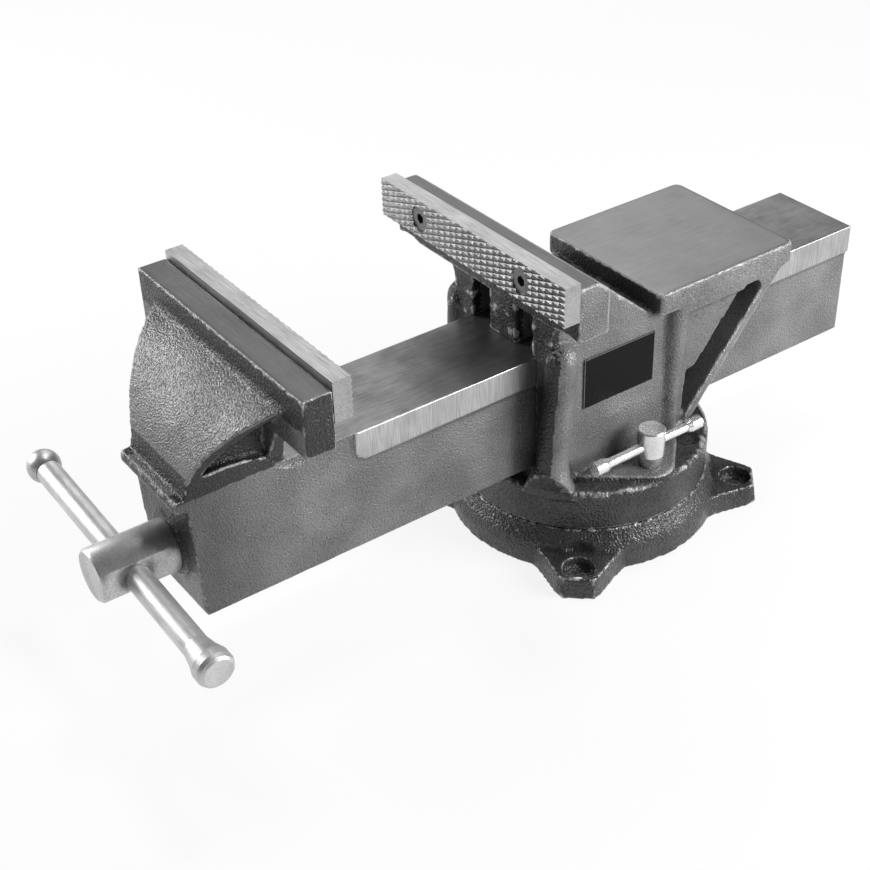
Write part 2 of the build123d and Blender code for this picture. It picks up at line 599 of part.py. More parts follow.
def anvil():
    plan = fillet(Rectangle(ANVIL_WIDTH, ANVIL_LENGTH).vertices(), 4.0)
    slab = plan_prism(plan, ANVIL_BOTTOM_Z, ANVIL_TOP_Z)
    slab = Pos(0, (ANVIL_FRONT_Y + ANVIL_REAR_Y) / 2, 0) * slab
    return chamfer(slab.edges().group_by(Axis.Z)[-1], 0.8)


def anvil_supports():
    """Ribbed side plates under the anvil: an upright rib, a web and a sloping brace past a slot."""
    foot_z = TURNTABLE_TOP_Z - 1
    slope = 1 / math.tan(math.radians(BRACE_ANGLE))
    brace_run = BRACE_THICKNESS / math.sin(math.radians(BRACE_ANGLE))
    foot_y = BODY_REAR_Y + 0.5
    top_y = foot_y + (ANVIL_BOTTOM_Z - foot_z) * slope
    rib_rear_y = RIB_FRONT_Y + RIB_WIDTH
    rib_y = RIB_FRONT_Y + RIB_WIDTH / 2
    plate = polygon((rib_y, ANVIL_BOTTOM_Z), (top_y, ANVIL_BOTTOM_Z), (foot_y, foot_z), (rib_y, foot_z))

    def brace_front(z):
        return foot_y - brace_run + (z - foot_z) * slope

    slot_top_z = ANVIL_BOTTOM_Z - 2.5
    web_corner_z = ANVIL_BOTTOM_Z - 44.0
    slot_low_z = foot_z + (rib_rear_y + 2.0 - brace_front(foot_z)) / slope
    slot = make_face(Polyline(
        (rib_rear_y + 2.0, slot_low_z), (brace_front(slot_top_z), slot_top_z),
        (brace_front(slot_top_z) - BRACE_SLOT, slot_top_z),
        (brace_front(web_corner_z) - BRACE_SLOT, web_corner_z),
        (rib_rear_y + 2.0, web_corner_z - 1.0), close=True))
    slot = fillet(slot.vertices().group_by(Axis.Y)[-1], 5.0)
    sides = side_prism(plate, ANVIL_HALF) - side_prism(slot, ANVIL_HALF + 1)
    web_top_z = ANVIL_BOTTOM_Z - 5.0
    web_recess = polygon(
        (rib_y, web_top_z), (brace_front(web_top_z) - 3.0, web_top_z),
        (rib_rear_y + 3.0, web_corner_z - 6.0), (rib_rear_y + 3.0, foot_z + 6.0), (rib_y, foot_z + 6.0))
    skin = anvil_side_envelope(0) - anvil_side_envelope(WEB_RECESS)
    sides -= skin & side_prism(web_recess, ANVIL_HALF + 1)
    sides &= anvil_side_envelope(0)
    rib = anvil_rib(BODY_HALF + 1.5 - RIB_WIDTH / 2, ANVIL_HALF - 0.3 - RIB_WIDTH / 2, rib_y, foot_z)
    return sides + mirrored_pair(rib)


def anvil_side_envelope(inset):
    """Room between the outer faces of the anvil's side plates, which lean out up to the anvil."""
    foot_z = TURNTABLE_TOP_Z - 1
    foot_half, top_half = BODY_HALF + 1.5 - inset, ANVIL_HALF - 0.3 - inset
    outline = polygon((-foot_half, foot_z), (foot_half, foot_z), (top_half, TUNNEL_TOP_Z),
                      (top_half, ANVIL_BOTTOM_Z), (-top_half, ANVIL_BOTTOM_Z), (-top_half, TUNNEL_TOP_Z))
    return front_prism(outline, RIB_FRONT_Y - 5, ANVIL_REAR_Y)


def anvil_rib(foot_x, top_x, y, foot_z):
    """Half-round rib that leans out to the anvil's edge and then stands upright."""
    knee = (top_x, y, TUNNEL_TOP_Z)
    rib = rod((foot_x, y, foot_z), knee, RIB_WIDTH / 2)
    rib += rod(knee, (top_x, y, ANVIL_BOTTOM_Z), RIB_WIDTH / 2)
    return rib + Pos(*knee) * Sphere(RIB_WIDTH / 2)


def lock_pads():
    """Low raised pads round the lock bolts, from the side walls to the rim."""
    circle = CenterArc((LOCK_RADIUS, 0), TURNTABLE_RADIUS - LOCK_RADIUS - 0.6, 0, 360)
    wall_line = Line((BODY_HALF - 1, BODY_FRONT_Y + 15.0), (BODY_HALF - 1, BODY_REAR_Y - 1.0))
    pad = plan_prism(make_face(make_hull([circle, wall_line]).edges()), TURNTABLE_TOP_Z - 1, PAD_TOP_Z)
    return mirrored_pair(pad)


def rim_pocket():
    """Shallow round hollow in the turntable's top beside the right rib's foot."""
    x, y = BODY_HALF + RIM_POCKET_RADIUS + 1.0, BODY_REAR_Y - 3.0
    return rod((x, y, TURNTABLE_TOP_Z - RIM_POCKET_DEPTH), (x, y, PAD_TOP_Z + 1), RIM_POCKET_RADIUS)


def turntable():
    bottom, top, rim = TURNTABLE_BOTTOM_Z, TURNTABLE_TOP_Z, TURNTABLE_RADIUS
    disc = revolved(polygon((0, bottom), (rim, bottom), (rim, top - 1.6), (rim - 1.6, top), (0, top)))
    boss = rod((0, 0, BASE_HEIGHT - 11.9), (0, 0, bottom + 1), PIVOT_DIAMETER / 2)
    return disc + boss


def fixed_jaw_body():
    low_z = TURNTABLE_TOP_Z - 4
    walls = block((-BODY_HALF, BODY_FRONT_Y, low_z), (BODY_HALF, BODY_REAR_Y, ANVIL_BOTTOM_Z))
    body = walls + flared_neck() + mirrored_pair(pillar()) + anvil() + anvil_supports()
    body &= block((-HALF_JAW, FIXED_FACE_Y, low_z), (HALF_JAW, ANVIL_REAR_Y, HEAD_TOP_Z))
    body += turntable() + lock_pads()
    tunnel = block((-TUNNEL_HALF, BODY_FRONT_Y - 20, TUNNEL_FLOOR_Z),
                   (TUNNEL_HALF, ANVIL_REAR_Y, TUNNEL_TOP_Z))
    pocket = block(
        (CENTRE_RIB / 2, BODY_FRONT_Y - 1, TUNNEL_TOP_Z - 1),
        (CENTRE_RIB / 2 + POCKET_WIDTH, BODY_FRONT_Y + POCKET_DEPTH, HEAD_BOTTOM_Z - 3),
    )
    body = body - tunnel - mirrored_pair(pocket) - mirrored_pair(rim_pocket())
    for x in (-LOCK_RADIUS, LOCK_RADIUS):
        body -= rod((x, 0, 0), (x, 0, PAD_TOP_Z + 1), LOCK_BOLT_DIAMETER / 2 + RUNNING_FIT)
    body -= nut_bolt_hole(NUT_BOLT_DIAMETER / 2 + 0.3)
    body -= rod((0, NUT_CENTRE_Y, 0), (0, NUT_CENTRE_Y, nut_bolt_seat_z()), NUT_BOLT_DIAMETER / 2 + 6.0)
    body -= rod((0, 0, 0), (0, 0, TURNTABLE_BOTTOM_Z + 6), PIVOT_BOLT_DIAMETER / 2 + SEAT_FIT)
    return body - jaw_screw_holes(FIXED_SEAT_Y, 1)


def label_plate():
    """Plain plate on the right side wall."""
    y, z = BODY_FRONT_Y + 46.0, TUNNEL_TOP_Z - 19.0
    return block((BODY_HALF, y - LABEL_LENGTH / 2, z - LABEL_HEIGHT / 2),
                 (BODY_HALF + LABEL_THICKNESS, y + LABEL_LENGTH / 2, z + LABEL_HEIGHT / 2))


# ---- base ----------------------------------------------------------------------
def lug():
    """One bolt lug along +X, wide where it leaves the flange and drafted to its top."""
    flare_x, root_x, shoulder_x = FLANGE_RADIUS - 10.0, FLANGE_RADIUS + 3.8, LUG_REACH - 4.0
    right = [(flare_x, -LUG_ROOT_HALF - LUG_FLARE), (root_x, -LUG_ROOT_HALF),
             (shoulder_x, -LUG_SHOULDER_HALF), (LUG_REACH, -LUG_END_HALF)]
    left = [(x, -y) for x, y in reversed(right)]
    return extrude(polygon(*right, *left), amount=LUG_THICKNESS, taper=LUG_DRAFT)


def lug_turns():
    return [LUG_TURN + 45.0 + number * 360.0 / LUG_COUNT for number in range(LUG_COUNT)]


def base_centres():
    for turn in lug_turns():
        yield LUG_CIRCLE / 2 * math.cos(math.radians(turn)), LUG_CIRCLE / 2 * math.sin(math.radians(turn))


def swivel_base():
    rim = FLANGE_RADIUS
    dome = revolved(polygon(
        (0, 0), (rim, 0), (rim, 9.5), (rim - 1.3, 15.0), (TURNTABLE_RADIUS + 1.6, 20.0),
        (TURNTABLE_RADIUS, BASE_HEIGHT), (0, BASE_HEIGHT)))
    base = dome
    for turn in lug_turns():
        base += Rot(Z=turn) * lug()
    for x, y in base_centres():
        base -= rod((x, y, LUG_THICKNESS), (x, y, BASE_HEIGHT + 1), LUG_SPOT_FACE / 2)
        base -= rod((x, y, -1), (x, y, LUG_THICKNESS + 1), LUG_HOLE / 2)
        base -= rod((x, y, LUG_THICKNESS - LUG_COUNTERBORE_DEPTH), (x, y, BASE_HEIGHT),
                    LUG_COUNTERBORE / 2)
    groove_half = LOCK_BOLT_DIAMETER / 2 + 0.9
    neck = (LOCK_RADIUS - groove_half, LOCK_RADIUS + groove_half)
    wide = (LOCK_RADIUS - CLAMP_FOOT_HALF - 0.5, LOCK_RADIUS + CLAMP_FOOT_HALF + 0.5)
    ceiling, floor = BASE_HEIGHT - 11.0, 5.0
    base -= ring(*neck, floor, BASE_HEIGHT + 1)
    base -= ring(*wide, floor, ceiling)
    entry_half = CLAMP_NUT_LENGTH / 2 + 1
    base -= block((-entry_half, wide[0] - 0.5, floor), (entry_half, wide[1] + 1.5, BASE_HEIGHT + 1))
    base -= rod((0, 0, -1), (0, 0, BASE_HEIGHT + 1), PIVOT_DIAMETER / 2 + RUNNING_FIT)
    base -= rod((0, 0, -1), (0, 0, hub_underside_z()), PIVOT_DIAMETER / 2 + 10.0)
    return base


def hub_underside_z():
    return BASE_HEIGHT - 11.6


def pivot_washer():
    top = BASE_HEIGHT - 11.9
    ring = rod((0, 0, top - 3.0), (0, 0, top), PIVOT_DIAMETER / 2 + 7.0)
    return ring - rod((0, 0, top - 4.0), (0, 0, top + 1), PIVOT_BOLT_DIAMETER / 2 + SEAT_FIT)


def pivot_bolt():
    seat = BASE_HEIGHT - 14.9
    head = extrude(Plane.XY.offset(seat - 6.4) * RegularPolygon(9.3, 6), amount=6.4)
    return head + rod((0, 0, seat - 1), (0, 0, TURNTABLE_BOTTOM_Z + 5), PIVOT_BOLT_DIAMETER / 2)


# ---- swivel locks --------------------------------------------------------------
def lock_bolt(side):
    """Bolt with a tapered head, cross-drilled for its sliding bar."""
    x = side * LOCK_RADIUS
    head_radius = LOCK_HEAD_DIAMETER / 2
    neck_z = LOCK_BAR_Z - LOCK_BAR_DIAMETER
    head = rod((x, 0, neck_z), (x, 0, LOCK_HEAD_TOP_Z), head_radius)
    head = chamfer(head.edges().group_by(Axis.Z)[-1], 0.7)
    head += taper((x, 0, PAD_TOP_Z), (x, 0, neck_z), head_radius - 1.9, head_radius)
    shank = rod((x, 0, 7.0), (x, 0, PAD_TOP_Z + 1), LOCK_BOLT_DIAMETER / 2)
    hole = rod((x, -LOCK_HEAD_DIAMETER, LOCK_BAR_Z), (x, LOCK_HEAD_DIAMETER, LOCK_BAR_Z),
               LOCK_BAR_DIAMETER / 2 + RUNNING_FIT)
    return head + shank - hole


def lock_bar(side):
    x, half, middle = side * LOCK_RADIUS, LOCK_BAR_LENGTH / 2, LOCK_BAR_OFFSET
    return rod((x, middle - half, LOCK_BAR_Z), (x, middle + half, LOCK_BAR_Z), LOCK_BAR_DIAMETER / 2)


def lock_bar_caps(side):
    """Caps pressed on the ends of a lock bar."""
    x, half, caps = side * LOCK_RADIUS, LOCK_BAR_LENGTH / 2, []
    bar_radius = LOCK_BAR_DIAMETER / 2
    for end in (-1, 1):
        at = lambda inward: (x, LOCK_BAR_OFFSET + end * (half + 1.5 - inward), LOCK_BAR_Z)
        cap = rod(at(0), at(6.5), bar_radius + 1.3)
        cap += taper(at(6.5), at(9.5), bar_radius + 1.3, bar_radius + 0.4)
        caps.append(cap - rod(at(1.5), at(12), bar_radius + SEAT_FIT))
    return caps


def clamp_nut(side):
    """T-nut in the base's ring groove, under the ledge on both sides of the slot."""
    slot_half = LOCK_BOLT_DIAMETER / 2 + 0.6
    ceiling = BASE_HEIGHT - 11.2
    half = CLAMP_NUT_LENGTH / 2
    foot = ring(LOCK_RADIUS - CLAMP_FOOT_HALF, LOCK_RADIUS + CLAMP_FOOT_HALF, 6.5, ceiling)
    neck = ring(LOCK_RADIUS - slot_half, LOCK_RADIUS + slot_half, 6.5, ceiling + 5.5)
    x = side * LOCK_RADIUS
    span = block((x - 20, -half, 0), (x + 20, half, BASE_HEIGHT))
    hole = rod((x, 0, 0), (x, 0, BASE_HEIGHT), LOCK_BOLT_DIAMETER / 2 + SEAT_FIT)
    return ((foot + neck) & span) - hole


# ---- write every piece ---------------------------------------------------------
def pieces():
    yield "swivel_base", swivel_base()
    yield "pivot_washer", pivot_washer()
    yield "pivot_bolt", pivot_bolt()
    yield "fixed_jaw_body", fixed_jaw_body()
    yield "label_plate", label_plate()
    yield "fixed_jaw_plate", jaw_plate(FIXED_FACE_Y, 1)
    yield "fixed_plate_screws", plate_screws(FIXED_FACE_Y, 1)
    yield "moving_jaw_slide", moving_jaw_slide()
    yield "moving_jaw_plate", jaw_plate(MOVING_FACE_Y, -1)
    yield "moving_plate_screws", plate_screws(MOVING_FACE_Y, -1)
    yield "lead_screw", lead_screw()
    yield "handle_bar", handle_bar()
    yield "handle_ball_end", handle_ball_end()
    yield "spring_washers", spring_washers()
    yield "thrust_spring", thrust_spring()
    yield "split_pin", split_pin()
    yield "screw_nut", screw_nut()
    yield "nut_bolt", nut_bolt()
    yield "nut_bolt_washer", nut_bolt_washer()
    for name, side in (("right", 1), ("left", -1)):
        yield f"lock_bolt_{name}", lock_bolt(side)
        yield f"lock_bar_{name}", lock_bar(side)
        yield f"lock_bar_caps_{name}", lock_bar_caps(side)
        yield f"clamp_nut_{name}", clamp_nut(side)


os.makedirs("parts", exist_ok=True)
for node, shape in pieces():
    if isinstance(shape, list):
        shape = Compound(children=shape)
    export_step(shape, f"parts/{node}.step")
    print(node, len(shape.solids()), round(shape.volume))
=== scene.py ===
# %% [markdown]
# # A bench vise on a swivel base
#
# The vise is a pair of heavy castings on a swivel base, with a bright screw and handle at the front, hardened
# jaw plates with a diamond-cut grip and a small anvil behind the jaws. The construction is already modelled.
# This lesson gives every piece the surface that the real one has.
#
# The first cell loads the imported model and bakes each node's place into its mesh, so nothing here has to
# be fitted.

# %% Load the imported model
import math

import bmesh
import bpy
import numpy as np
from mathutils import Matrix, Vector, noise


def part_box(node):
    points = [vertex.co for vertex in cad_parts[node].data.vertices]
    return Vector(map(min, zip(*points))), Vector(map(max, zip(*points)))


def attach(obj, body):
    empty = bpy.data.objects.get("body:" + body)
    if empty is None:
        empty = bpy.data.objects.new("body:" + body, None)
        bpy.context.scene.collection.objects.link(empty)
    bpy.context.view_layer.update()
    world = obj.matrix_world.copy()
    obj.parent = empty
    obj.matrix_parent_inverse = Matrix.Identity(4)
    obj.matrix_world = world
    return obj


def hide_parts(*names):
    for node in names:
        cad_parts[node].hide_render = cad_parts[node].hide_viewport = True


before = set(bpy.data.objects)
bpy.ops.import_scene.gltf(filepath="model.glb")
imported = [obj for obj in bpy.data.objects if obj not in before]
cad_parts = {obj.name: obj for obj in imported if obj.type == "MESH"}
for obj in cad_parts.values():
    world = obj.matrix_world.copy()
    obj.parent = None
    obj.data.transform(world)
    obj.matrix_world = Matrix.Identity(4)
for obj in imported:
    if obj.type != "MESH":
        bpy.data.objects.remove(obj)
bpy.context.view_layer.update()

MM = 0.001
scene = bpy.context.scene


def box_mm(node):
    """Lowest and highest corner of a CAD node, in millimetres."""
    low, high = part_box(node)
    return low / MM, high / MM


# %% [markdown]
# ## Camera
#
# A photograph's view can be found from the directions of the object's straight edges. Here the jaws give one
# direction, the long slide a second and the upright walls the third. Together they say where the camera
# stood, how it was turned and how long its lens was.

# %% Camera
CAMERA_PLACE = Vector((562.5, -488.7, 554.7)) * MM
CAMERA_YAW, CAMERA_PITCH, CAMERA_ROLL = (math.radians(a) for a in (55.45, 34.78, -1.96))
FOCAL_PIXELS, PICTURE_PIXELS, SENSOR = 1591.2, 870, 36.0

ahead = Vector((-math.sin(CAMERA_YAW) * math.cos(CAMERA_PITCH),
                math.cos(CAMERA_YAW) * math.cos(CAMERA_PITCH), -math.sin(CAMERA_PITCH)))
level = ahead.cross(Vector((0, 0, 1))).normalized()
above = level.cross(ahead)
right = level * math.cos(CAMERA_ROLL) + above * math.sin(CAMERA_ROLL)
up = above * math.cos(CAMERA_ROLL) - level * math.sin(CAMERA_ROLL)

camera_data = bpy.data.cameras.new("camera")
camera_data.sensor_fit = "HORIZONTAL"
camera_data.sensor_width = SENSOR
camera_data.lens = SENSOR * FOCAL_PIXELS / PICTURE_PIXELS
camera = bpy.data.objects.new("camera", camera_data)
camera.matrix_world = Matrix.Translation(CAMERA_PLACE) @ Matrix((right, up, -ahead)).transposed().to_4x4()
scene.collection.objects.link(camera)
bpy.context.scene.camera = camera
print("lens", round(camera_data.lens, 1), "mm")

# %% [markdown]
# ## Shader building blocks
#
# Every finish below is a Principled shader whose colour, roughness and normal come from a few procedural
# textures. Two small helpers keep the node code short: one adds a node with its inputs, and one opens a
# reusable group with named sockets.

# %% Node helpers
def add(tree, kind, inputs=(), **settings):
    """A node whose inputs are values or the output sockets of other nodes."""
    node = tree.nodes.new(kind)
    for key, value in settings.items():
        setattr(node, key, value)
    for key, value in dict(inputs).items():
        if isinstance(value, bpy.types.NodeSocket):
            tree.links.new(value, node.inputs[key])
        else:
            node.inputs[key].default_value = value
    return node


def new_group(name, inputs, outputs):
    """An empty shader group; inputs maps a socket's name to its kind and value."""
    tree = bpy.data.node_groups.new(name, "ShaderNodeTree")
    for socket, (kind, value) in inputs.items():
        made = tree.interface.new_socket(socket, in_out="INPUT", socket_type=kind)
        if value is not None:
            made.default_value = value
    for socket, kind in outputs.items():
        tree.interface.new_socket(socket, in_out="OUTPUT", socket_type=kind)
    return tree, tree.nodes.new("NodeGroupInput").outputs, tree.nodes.new("NodeGroupOutput").inputs


def place(tree, group, inputs=()):
    """The group as one node of a material."""
    return add(tree, "ShaderNodeGroup", inputs, node_tree=group).outputs


def math_node(tree, operation, first, second=0.0, clamp=False):
    return add(tree, "ShaderNodeMath", {0: first, 1: second}, operation=operation, use_clamp=clamp).outputs[0]


def mix_colour(tree, share, first, second, blend="MIX"):
    node = add(tree, "ShaderNodeMix", data_type="RGBA", blend_type=blend)
    for socket, value in ((node.inputs[0], share), (node.inputs[6], first), (node.inputs[7], second)):
        if isinstance(value, bpy.types.NodeSocket):
            tree.links.new(value, socket)
        else:
            socket.default_value = value
    return node.outputs[2]


def ramp(tree, value, low, high, to_low=0.0, to_high=1.0):
    """A value's range stretched to another one, and clamped."""
    return add(tree, "ShaderNodeMapRange", {"Value": value, "From Min": low, "From Max": high,
                                            "To Min": to_low, "To Max": to_high}).outputs[0]


def grey(level):
    return (level, level, level, 1.0)


def new_material(name):
    """A material with its tree, its Principled shader and the object's own coordinates."""
    material = bpy.data.materials.new(name)
    material.use_nodes = True
    tree = material.node_tree
    shader = tree.nodes["Principled BSDF"]
    return material, tree, shader, add(tree, "ShaderNodeTexCoord").outputs["Object"]


# %% [markdown]
# ## Cast skin
#
# Silver-grey hammer paint on a sand casting shows four things: pebbles about 1.5 mm apart, pits between
# them, a slower unevenness from the mould, and a paler rub along the edges that hands and tools touch. The
# pebbles are noise that feeds a bump; the same noise marks pebble tops for a painted highlight and pits for
# painted shade. The rub follows an attribute that is measured on the mesh further down, so it lies only on
# the casting's own edges, and a second such attribute marks hollows for painted shade.

# %% Cast skin group
FLOAT, VECTOR = "NodeSocketFloat", "NodeSocketVector"
MOULD_SCALE, PATCH_SCALE = 34.0, 260.0

cast_skin, given, result = new_group(
    "cast_skin",
    {"Vector": (VECTOR, None), "Pebbles": (FLOAT, 900.0), "Wear": (FLOAT, 0.6)},
    {"Height": FLOAT, "Mottle": FLOAT, "Rub": FLOAT, "Hollow_Shade": FLOAT, "Pits": FLOAT, "Pebble_Highlight": FLOAT})
fine = add(cast_skin, "ShaderNodeTexNoise", {"Vector": given["Vector"], "Scale": given["Pebbles"],
                                             "Detail": 2.0, "Roughness": 0.5}).outputs[0]
cells = add(cast_skin, "ShaderNodeTexVoronoi", {"Vector": given["Vector"], "Scale": given["Pebbles"],
                                                "Smoothness": 0.6}, feature="SMOOTH_F1").outputs[0]
slow = add(cast_skin, "ShaderNodeTexNoise",
           {"Vector": given["Vector"], "Scale": MOULD_SCALE, "Detail": 3.0}).outputs[0]
pebble = math_node(cast_skin, "SUBTRACT", fine, math_node(cast_skin, "MULTIPLY", cells, 0.4))
cast_skin.links.new(math_node(cast_skin, "ADD", pebble, slow), result["Height"])
cast_skin.links.new(slow, result["Mottle"])
# Pits are marked for painted shade in the colour, and for more roughness.
cast_skin.links.new(ramp(cast_skin, fine, 0.46, 0.34), result["Pits"])
# Painted highlight: pebble tops are marked for a lighter grey.
cast_skin.links.new(ramp(cast_skin, fine, 0.54, 0.66), result["Pebble_Highlight"])
edge = add(cast_skin, "ShaderNodeAttribute", attribute_name="edge").outputs["Fac"]
hollow = add(cast_skin, "ShaderNodeAttribute", attribute_name="hollow").outputs["Fac"]
patchy = add(cast_skin, "ShaderNodeTexNoise",
             {"Vector": given["Vector"], "Scale": PATCH_SCALE, "Detail": 3.0}).outputs[0]
rubbed = math_node(cast_skin, "ADD", edge, math_node(cast_skin, "SUBTRACT", patchy, 0.5))
rub = math_node(cast_skin, "MULTIPLY", ramp(cast_skin, rubbed, 0.35, 0.7), given["Wear"], clamp=True)
cast_skin.links.new(rub, result["Rub"])
# Painted shade: hollows measured on the mesh are marked for a darker grey.
cast_skin.links.new(ramp(cast_skin, hollow, 0.1, 0.8), result["Hollow_Shade"])
print("cast skin group:", len(cast_skin.nodes), "nodes")

# %% [markdown]
# ## Paint on the castings
#
# The paint is a mix of two greys that the mould's slow noise chooses between. Pebble tops get a painted
# highlight, pits and hollows get painted shade, and rubbed edges show pale iron. One function makes all three
# paints: silver on the body, a near-black one that is painted shade on its forward faces and other faces
# turned from the lamps, and a dark one on the base.

# %% Painted casting material
# Shares of the painted highlight on pebble tops and of the painted shade in hollows, the grey of rubbed edges,
# and how much rougher pits are.
PEBBLE_HIGHLIGHT_SHARE, HOLLOW_SHADE_SHARE, RUB_GREY, PIT_ROUGHER = 0.16, 0.8, 0.70, 0.25


def painted_casting(name, colour, dark, roughness, pebbles, depth, wear, metal=0.35, pits=0.35):
    """Hammer paint on cast iron, between two greys."""
    material, tree, shader, here = new_material(name)
    skin = place(tree, cast_skin, {"Vector": here, "Pebbles": pebbles, "Wear": wear})
    base = mix_colour(tree, ramp(tree, skin["Mottle"], 0.35, 0.65), grey(dark), grey(colour))
    # Painted highlight: pebble tops get a lighter grey.
    base = mix_colour(tree, math_node(tree, "MULTIPLY", skin["Pebble_Highlight"], PEBBLE_HIGHLIGHT_SHARE), base, grey(colour * 1.9))
    # Painted shade: pits are made near black.
    base = mix_colour(tree, math_node(tree, "MULTIPLY", skin["Pits"], pits), base, grey(dark * 0.1))
    # Painted shade: hollows, and the slide's front end, get a near-black grey.
    base = mix_colour(tree, math_node(tree, "MULTIPLY", skin["Hollow_Shade"], HOLLOW_SHADE_SHARE), base, grey(dark * 0.15))
    base = mix_colour(tree, skin["Rub"], base, grey(RUB_GREY))
    tree.links.new(base, shader.inputs["Base Color"])
    dull = ramp(tree, skin["Pits"], 0.0, 1.0, roughness, roughness + PIT_ROUGHER)
    tree.links.new(dull, shader.inputs["Roughness"])
    bump = add(tree, "ShaderNodeBump", {"Height": skin["Height"], "Strength": 1.0, "Distance": depth})
    tree.links.new(bump.outputs[0], shader.inputs["Normal"])
    shader.inputs["Metallic"].default_value = metal
    return material


BODY_PAINT = painted_casting("silver_hammer_paint", colour=0.26, dark=0.17, roughness=0.33,
                             pebbles=1000.0, depth=0.0006, wear=0.4)
# A near-black paint that is painted shade on faces turned away from the lamps.
SHADE_PAINT = painted_casting("shade_hammer_paint", colour=0.035, dark=0.015, roughness=0.30,
                              pebbles=850.0, depth=0.0008, wear=0.7, metal=0.15)
BASE_PAINT = painted_casting("dark_hammer_paint", colour=0.075, dark=0.03, roughness=0.22,
                             pebbles=750.0, depth=0.0007, wear=0.7, metal=0.25)
print("paints:", BODY_PAINT.name, SHADE_PAINT.name, BASE_PAINT.name)

# %% [markdown]
# ## Machined steel
#
# Where a cutter has passed, the iron is bare. It shines, but along one direction only: the tool leaves fine
# parallel lines. Noise that is stretched along that direction gives the lines and drives the roughness too. A
# second, coarser layer gives the darker patches where oil has dulled the steel.

# %% Tool marks group
tool_marks, given, result = new_group(
    "tool_marks", {"Vector": (VECTOR, None), "Stretch": (VECTOR, (1.0, 1.0, 1.0))},
    {"Lines": FLOAT, "Patches": FLOAT})
stretched = add(tool_marks, "ShaderNodeVectorMath", {0: given["Vector"], 1: given["Stretch"]},
                operation="MULTIPLY")
lines = add(tool_marks, "ShaderNodeTexNoise", {"Vector": stretched.outputs[0], "Scale": 1.0, "Detail": 4.0,
                                               "Roughness": 0.65})
patches = add(tool_marks, "ShaderNodeTexNoise", {"Vector": given["Vector"], "Scale": 45.0, "Detail": 4.0,
                                                 "Roughness": 0.6})
tool_marks.links.new(lines.outputs[0], result["Lines"])
tool_marks.links.new(patches.outputs[0], result["Patches"])
print("tool marks group:", len(tool_marks.nodes), "nodes")

# %% Machined steel material
LINE_LOW, LINE_HIGH = 0.3, 0.7


def machined(name, colour, roughness, stretch, contrast=0.35, metal=1.0, depth=0.00015, dulled=0.8):
    """Bare steel with tool marks that run where stretch is small."""
    material, tree, shader, here = new_material(name)
    marks = place(tree, tool_marks, {"Vector": here, "Stretch": stretch})
    lined = ramp(tree, marks["Lines"], LINE_LOW, LINE_HIGH, colour * (1 - contrast), colour * (1 + contrast))
    level = math_node(tree, "MULTIPLY", lined, ramp(tree, marks["Patches"], 0.35, 0.7, 1.0, dulled))
    tree.links.new(add(tree, "ShaderNodeCombineColor", {0: level, 1: level, 2: level}).outputs[0],
                   shader.inputs["Base Color"])
    tree.links.new(ramp(tree, marks["Lines"], LINE_LOW, LINE_HIGH, roughness + 0.07, roughness - 0.05),
                   shader.inputs["Roughness"])
    bump = add(tree, "ShaderNodeBump", {"Height": marks["Lines"], "Strength": 0.5, "Distance": depth})
    tree.links.new(bump.outputs[0], shader.inputs["Normal"])
    shader.inputs["Metallic"].default_value = metal
    return material


ALONG_X, ALONG_Y, ALONG_Z, ROUND = (60, 2400, 2400), (2400, 60, 2400), (2400, 2400, 60), (900, 900, 900)
JAW_STEEL = machined("ground_jaw_steel", 0.42, 0.34, ALONG_X, contrast=0.4)
# The grip's cut faces get a darker steel than the rest of the plate.
GRIP_STEEL = machined("dark_grip_steel", 0.16, 0.36, ROUND, contrast=0.5)
HEAD_TOP = machined("planed_head_top", 0.17, 0.5, ALONG_X, contrast=0.12, metal=0.7)
BEAM_TOP = machined("planed_slide_top", 0.27, 0.42, ALONG_Y, contrast=0.3, metal=0.8, dulled=0.6)
BEAM_BAND = machined("milled_slide_band", 0.50, 0.35, ALONG_Z, contrast=0.35)
ANVIL_TOP = machined("ground_anvil_top", 0.275, 0.45, ALONG_Y, contrast=0.10, dulled=0.88)
BRIGHT = machined("bright_steel", 0.66, 0.40, ROUND, contrast=0.25, metal=0.8, dulled=0.6)
BRIGHT_BAR = machined("drawn_bar_steel", 0.72, 0.40, ALONG_X, contrast=0.22, metal=0.75, dulled=0.7)
PLATED = machined("plated_steel", 0.85, 0.26, ROUND, contrast=0.08, metal=0.85)
BLACK_STEEL = machined("black_oxide_steel", 0.02, 0.45, ROUND, contrast=0.3, metal=0.0)
SCREW_STEEL = machined("socket_screw_steel", 0.2, 0.4, ROUND, contrast=0.3)
LABEL_BLACK = machined("label_black", 0.006, 0.5, ROUND, contrast=0.2, metal=0.0)
LABEL_BLACK.node_tree.nodes["Principled BSDF"].inputs["Specular IOR Level"].default_value = 0.1
NUT_IRON = machined("cast_nut_iron", 0.18, 0.55, ROUND, contrast=0.3)
print(len(bpy.data.materials), "materials so far")

# %% [markdown]
# ## Castings
#
# A casting has no sharp edge: the mould rounds every corner and fills every angle. The CAD model has crisp
# ones. A voxel remesh of a copy melts them together, as sand does, and a little smoothing opens the radii.
# The copy's edges and hollows are then measured for the paint.

# %% Mesh helpers
def copy_of(node, name):
    """A new object with a CAD node's mesh, its loose triangles merged."""
    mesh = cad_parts[node].data.copy()
    mesh.name = name
    mesh.materials.clear()
    work = bmesh.new()
    work.from_mesh(mesh)
    bmesh.ops.remove_doubles(work, verts=work.verts, dist=1e-6)
    work.to_mesh(mesh)
    work.free()
    piece = bpy.data.objects.new(name, mesh)
    scene.collection.objects.link(piece)
    return piece


